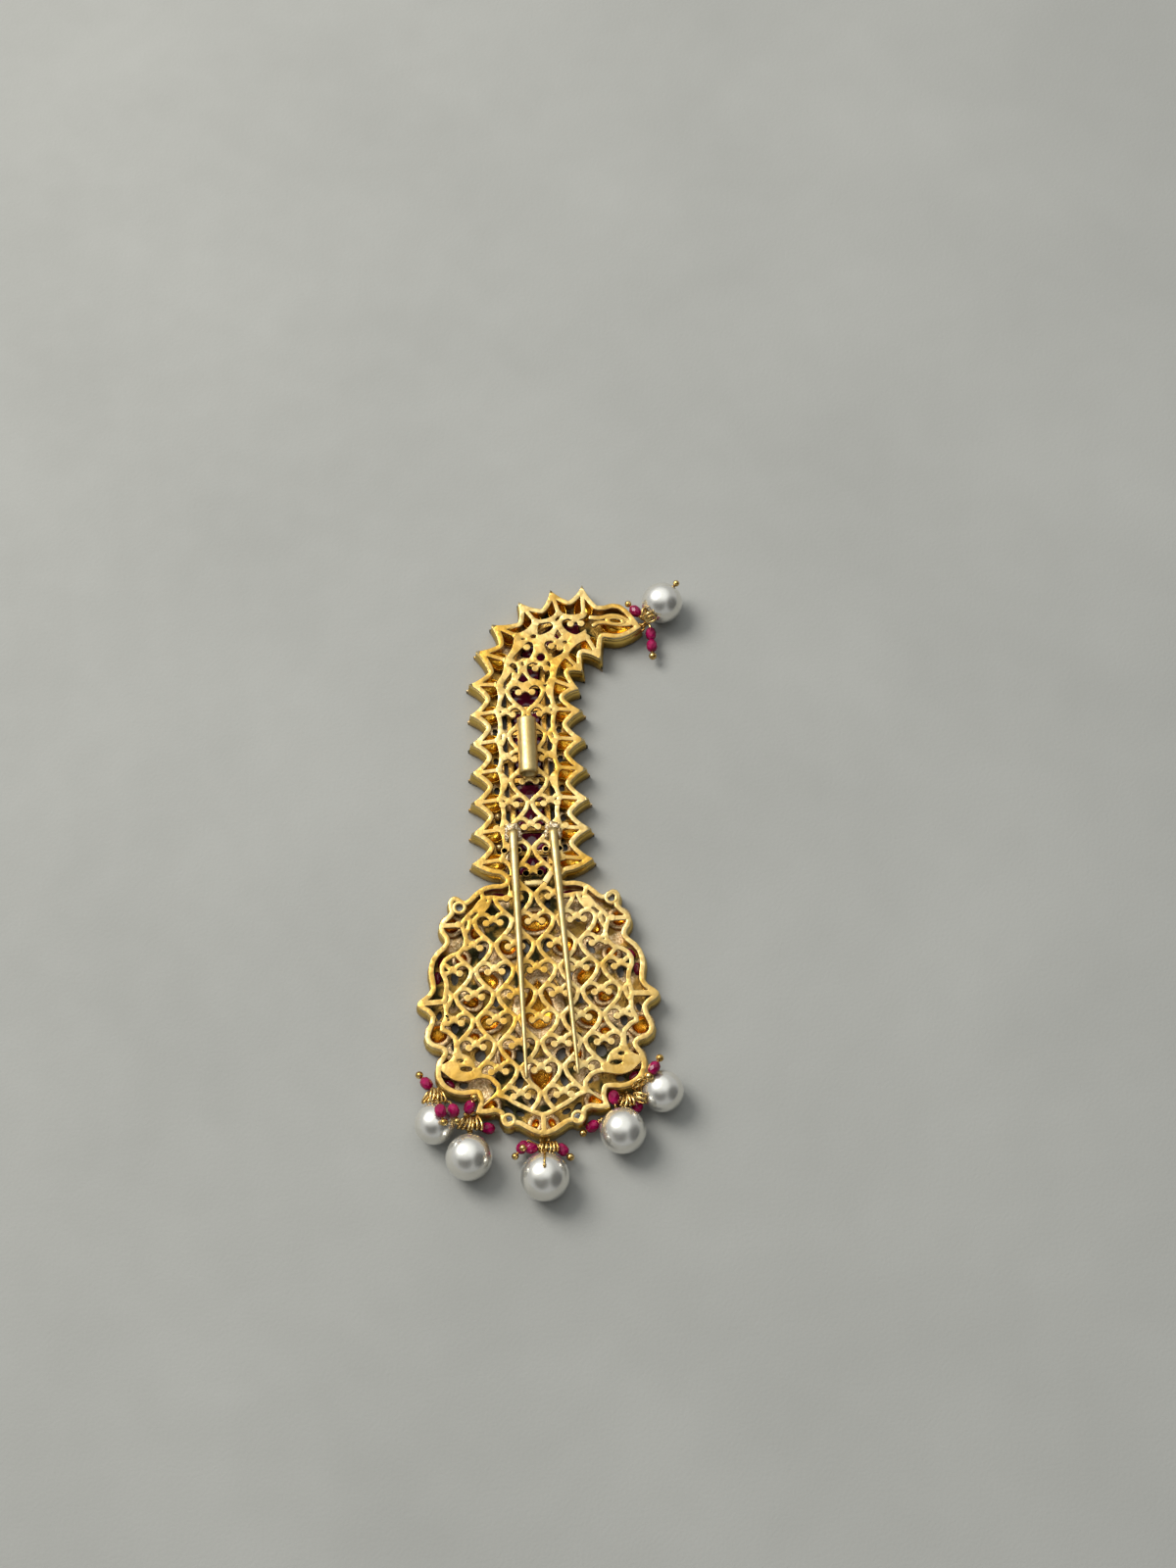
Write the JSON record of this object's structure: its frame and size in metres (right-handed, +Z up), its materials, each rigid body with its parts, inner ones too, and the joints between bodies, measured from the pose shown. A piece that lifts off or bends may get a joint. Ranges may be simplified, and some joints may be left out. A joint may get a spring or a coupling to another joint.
{
  "type": "turban ornament",
  "caption": "Curved gold turban ornament lying face down: pierced heart-lattice back, pointed leaf edge, plume socket, turban pins, dark red stones and hanging pearls on wire loops.",
  "frame": {"origin": "centre of the bounding box's bottom face; the ornament lies face down with its front at z 0", "axes": "+Y along the ornament from the pearls at the base to the leaf at the top, +X to the right with the pierced back facing up, +Z up from the surface it lies on"},
  "size_m": [0.0612, 0.1358, 0.0106],
  "materials": {
    "gold": "polished gold plate with a cast texture inside",
    "gold_wire": "darker gold wire",
    "foiled_stone": "cut and foiled",
    "clear_stone": "cut",
    "dark_red_stone": "cut",
    "ruby": "faceted bead",
    "pearl": "soft nacre"
  },
  "bodies": {
    "root": {"front_frame": "gold", "back_grille": "gold", "centre_stone": "foiled_stone", "leaf_stones": "foiled_stone", "base_stones": "foiled_stone", "clear_stones": "clear_stone", "red_border_stones": "dark_red_stone", "stem_stone_1": "dark_red_stone", "stem_stone_2": "dark_red_stone", "stem_stone_3": "dark_red_stone", "stem_stone_4": "dark_red_stone", "stem_stone_5": "dark_red_stone", "stem_stone_6": "dark_red_stone", "stem_stone_7": "dark_red_stone", "stem_stone_8": "dark_red_stone", "stem_stone_9": "dark_red_stone", "stem_stone_10": "dark_red_stone", "stem_stone_11": "dark_red_stone", "stem_stone_12": "dark_red_stone", "pearl_1": "pearl", "pearl_2": "pearl", "pearl_3": "pearl", "pearl_4": "pearl", "pearl_5": "pearl", "pearl_6": "pearl", "drop_wire_1": "gold_wire", "drop_wire_2": "gold_wire", "drop_wire_3": "gold_wire", "drop_wire_4": "gold_wire", "drop_wire_5": "gold_wire", "drop_wire_6": "gold_wire", "ruby_1": "ruby", "ruby_2": "ruby", "ruby_3": "ruby", "ruby_4": "ruby", "ruby_5": "ruby", "ruby_6": "ruby", "ruby_7": "ruby", "ruby_8": "ruby", "ruby_9": "ruby", "ruby_10": "ruby", "ruby_11": "ruby", "ruby_12": "ruby", "ruby_13": "ruby", "ruby_14": "ruby", "ruby_15": "ruby"}
  },
  "joints": []
}
